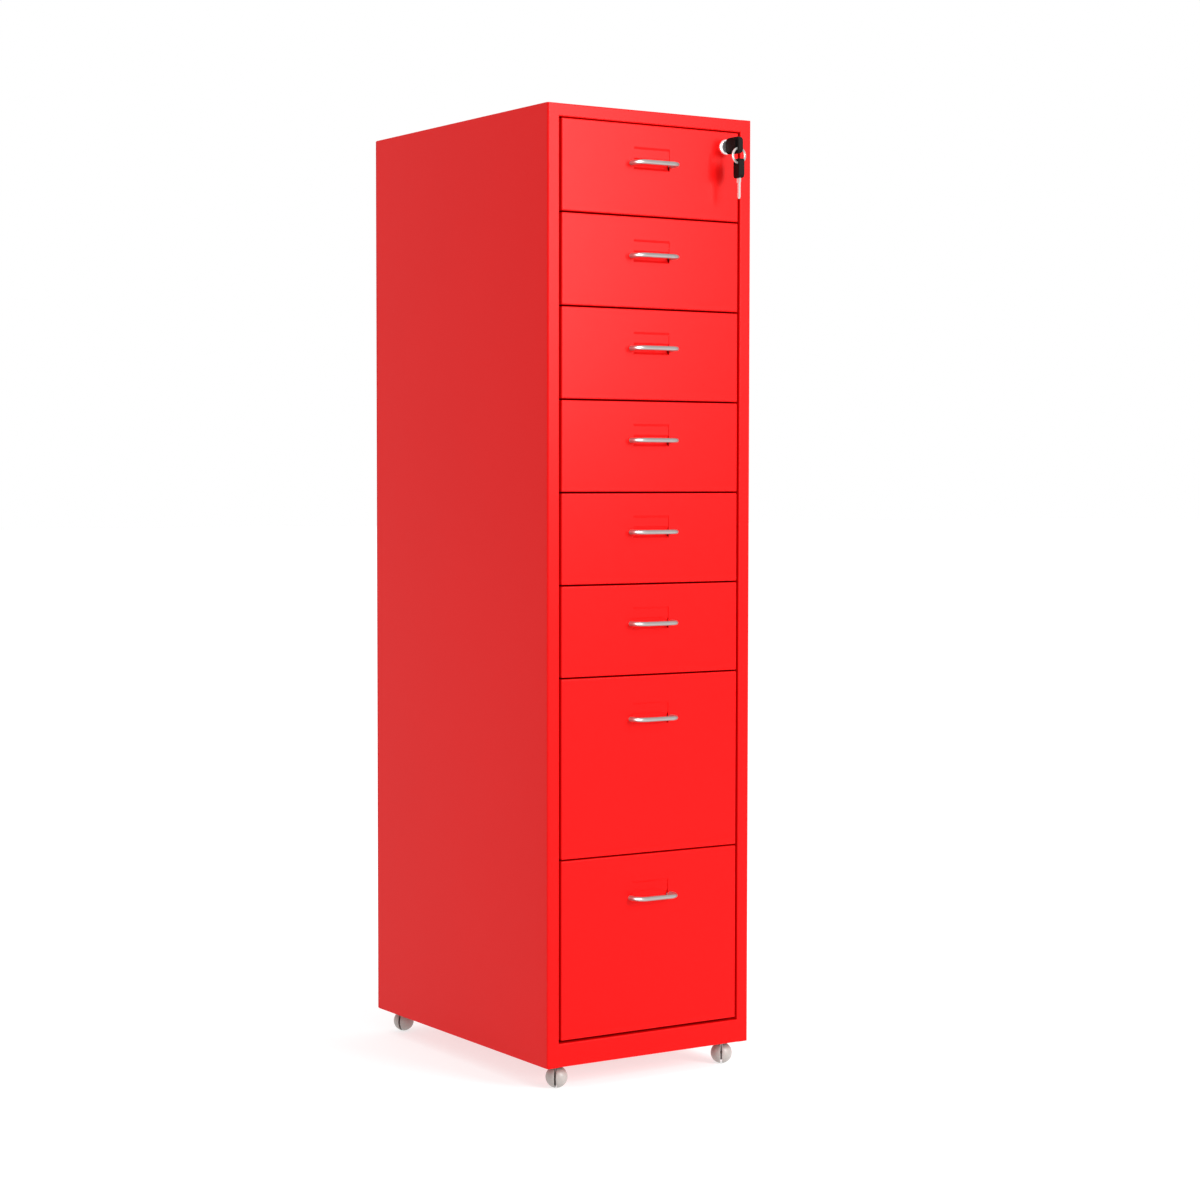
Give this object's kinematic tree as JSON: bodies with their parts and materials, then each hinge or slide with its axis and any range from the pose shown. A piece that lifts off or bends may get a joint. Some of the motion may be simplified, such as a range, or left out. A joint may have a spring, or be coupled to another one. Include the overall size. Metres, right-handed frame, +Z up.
{
  "type": "rolling drawer cabinet",
  "caption": "Tall slim steel drawer cabinet on small twin-wheel casters, with stacked pull-out drawers, bow handles over pressed label pockets and a keyed cam lock.",
  "frame": {"origin": "on the floor, under the middle of the whole object's box with the keys and handles", "axes": "+Z up, the drawers open towards -Y, +X to the right seen from the front"},
  "size_m": [0.28, 0.4414, 1.1144],
  "materials": {
    "red_paint": "satin powder coat",
    "satin_nickel": "satin nickel plate",
    "chrome": "bright plate",
    "key_steel": "nickel plate",
    "zinc_steel": "zinc plate",
    "black_plastic": "fine texture",
    "brown_plastic": "smooth",
    "grey_plastic": "smooth"
  },
  "bodies": {
    "cabinet": {"left_side_panel": "red_paint", "right_side_panel": "red_paint", "top_panel": "red_paint", "bottom_panel": "red_paint", "back_panel": "red_paint", "drawer_runners": "zinc_steel", "caster_sockets": "zinc_steel"},
    "drawer_1": {"drawer_1_tray": "red_paint", "drawer_1_front": "red_paint", "drawer_1_handle": "satin_nickel", "lock_barrel": "chrome", "lock_nut": "zinc_steel"},
    "drawer_2": {"drawer_2_tray": "red_paint", "drawer_2_front": "red_paint", "drawer_2_handle": "satin_nickel"},
    "drawer_3": {"drawer_3_tray": "red_paint", "drawer_3_front": "red_paint", "drawer_3_handle": "satin_nickel"},
    "drawer_4": {"drawer_4_tray": "red_paint", "drawer_4_front": "red_paint", "drawer_4_handle": "satin_nickel"},
    "drawer_5": {"drawer_5_tray": "red_paint", "drawer_5_front": "red_paint", "drawer_5_handle": "satin_nickel"},
    "drawer_6": {"drawer_6_tray": "red_paint", "drawer_6_front": "red_paint", "drawer_6_handle": "satin_nickel"},
    "drawer_7": {"drawer_7_tray": "red_paint", "drawer_7_front": "red_paint", "drawer_7_handle": "satin_nickel"},
    "drawer_8": {"drawer_8_tray": "red_paint", "drawer_8_front": "red_paint", "drawer_8_handle": "satin_nickel"},
    "lock_core": {"lock_plug": "chrome", "lock_cam": "zinc_steel", "key_blade": "key_steel", "key_bow": "black_plastic"},
    "ring": {"key_ring": "key_steel"},
    "spare_key": {"spare_key_blade": "key_steel", "spare_key_bow": "black_plastic"},
    "front_left_caster": {"front_left_caster_body": "brown_plastic", "front_left_caster_stem": "zinc_steel", "front_left_caster_axle": "zinc_steel"},
    "front_left_wheel_left_hub": {"front_left_wheel_left": "grey_plastic"},
    "front_left_wheel_right_hub": {"front_left_wheel_right": "grey_plastic"},
    "front_right_caster": {"front_right_caster_body": "brown_plastic", "front_right_caster_stem": "zinc_steel", "front_right_caster_axle": "zinc_steel"},
    "front_right_wheel_left_hub": {"front_right_wheel_left": "grey_plastic"},
    "front_right_wheel_right_hub": {"front_right_wheel_right": "grey_plastic"},
    "rear_left_caster": {"rear_left_caster_body": "brown_plastic", "rear_left_caster_stem": "zinc_steel", "rear_left_caster_axle": "zinc_steel"},
    "rear_left_wheel_left_hub": {"rear_left_wheel_left": "grey_plastic"},
    "rear_left_wheel_right_hub": {"rear_left_wheel_right": "grey_plastic"},
    "rear_right_caster": {"rear_right_caster_body": "brown_plastic", "rear_right_caster_stem": "zinc_steel", "rear_right_caster_axle": "zinc_steel"},
    "rear_right_wheel_left_hub": {"rear_right_wheel_left": "grey_plastic"},
    "rear_right_wheel_right_hub": {"rear_right_wheel_right": "grey_plastic"}
  },
  "joints": [
    {"name": "drawer_1_slide", "type": "slide", "parent": "cabinet", "child": "drawer_1", "axis": [0, -1, 0], "range_m": [0, 0.3]},
    {"name": "drawer_2_slide", "type": "slide", "parent": "cabinet", "child": "drawer_2", "axis": [0, -1, 0], "range_m": [0, 0.3]},
    {"name": "drawer_3_slide", "type": "slide", "parent": "cabinet", "child": "drawer_3", "axis": [0, -1, 0], "range_m": [0, 0.3]},
    {"name": "drawer_4_slide", "type": "slide", "parent": "cabinet", "child": "drawer_4", "axis": [0, -1, 0], "range_m": [0, 0.3]},
    {"name": "drawer_5_slide", "type": "slide", "parent": "cabinet", "child": "drawer_5", "axis": [0, -1, 0], "range_m": [0, 0.3]},
    {"name": "drawer_6_slide", "type": "slide", "parent": "cabinet", "child": "drawer_6", "axis": [0, -1, 0], "range_m": [0, 0.3]},
    {"name": "drawer_7_slide", "type": "slide", "parent": "cabinet", "child": "drawer_7", "axis": [0, -1, 0], "range_m": [0, 0.3]},
    {"name": "drawer_8_slide", "type": "slide", "parent": "cabinet", "child": "drawer_8", "axis": [0, -1, 0], "range_m": [0, 0.3]},
    {"name": "lock_turn", "type": "hinge", "parent": "drawer_1", "child": "lock_core", "pos_m": [0.1035, -0.18434, 1.0813], "axis": [0, 1, 0], "range_deg": [0, 90]},
    {"name": "ring_swing", "type": "hinge", "parent": "lock_core", "child": "ring", "pos_m": [0.1035, -0.21074, 1.07742], "axis": [1, 0, 0], "range_deg": [-40, 10]},
    {"name": "spare_key_swing", "type": "hinge", "parent": "ring", "child": "spare_key", "pos_m": [0.1035, -0.21074, 1.06042], "axis": [1, 0, 0], "range_deg": [-40, 10]},
    {"name": "front_left_swivel", "type": "hinge", "parent": "cabinet", "child": "front_left_caster", "pos_m": [-0.116, -0.16434, 0.0273], "axis": [0, 0, 1], "continuous": true},
    {"name": "front_left_wheel_left_spin", "type": "hinge", "parent": "front_left_caster", "child": "front_left_wheel_left_hub", "pos_m": [-0.11403, -0.16208, 0.01265], "axis": [0.7547, -0.6561, 0], "continuous": true},
    {"name": "front_left_wheel_right_spin", "type": "hinge", "parent": "front_left_caster", "child": "front_left_wheel_right_hub", "pos_m": [-0.11403, -0.16208, 0.01265], "axis": [0.7547, -0.6561, 0], "continuous": true},
    {"name": "front_right_swivel", "type": "hinge", "parent": "cabinet", "child": "front_right_caster", "pos_m": [0.116, -0.16434, 0.0273], "axis": [0, 0, 1], "continuous": true},
    {"name": "front_right_wheel_left_spin", "type": "hinge", "parent": "front_right_caster", "child": "front_right_wheel_left_hub", "pos_m": [0.11776, -0.16192, 0.01265], "axis": [0.809, -0.5878, 0], "continuous": true},
    {"name": "front_right_wheel_right_spin", "type": "hinge", "parent": "front_right_caster", "child": "front_right_wheel_right_hub", "pos_m": [0.11776, -0.16192, 0.01265], "axis": [0.809, -0.5878, 0], "continuous": true},
    {"name": "rear_left_swivel", "type": "hinge", "parent": "cabinet", "child": "rear_left_caster", "pos_m": [-0.116, 0.20066, 0.0273], "axis": [0, 0, 1], "continuous": true},
    {"name": "rear_left_wheel_left_spin", "type": "hinge", "parent": "rear_left_caster", "child": "rear_left_wheel_left_hub", "pos_m": [-0.11348, 0.20229, 0.01265], "axis": [0.5446, -0.8387, 0], "continuous": true},
    {"name": "rear_left_wheel_right_spin", "type": "hinge", "parent": "rear_left_caster", "child": "rear_left_wheel_right_hub", "pos_m": [-0.11348, 0.20229, 0.01265], "axis": [0.5446, -0.8387, 0], "continuous": true},
    {"name": "rear_right_swivel", "type": "hinge", "parent": "cabinet", "child": "rear_right_caster", "pos_m": [0.116, 0.20066, 0.0273], "axis": [0, 0, 1], "continuous": true},
    {"name": "rear_right_wheel_left_spin", "type": "hinge", "parent": "rear_right_caster", "child": "rear_right_wheel_left_hub", "pos_m": [0.11823, 0.20267, 0.01265], "axis": [0.6691, -0.7431, 0], "continuous": true},
    {"name": "rear_right_wheel_right_spin", "type": "hinge", "parent": "rear_right_caster", "child": "rear_right_wheel_right_hub", "pos_m": [0.11823, 0.20267, 0.01265], "axis": [0.6691, -0.7431, 0], "continuous": true}
  ]
}
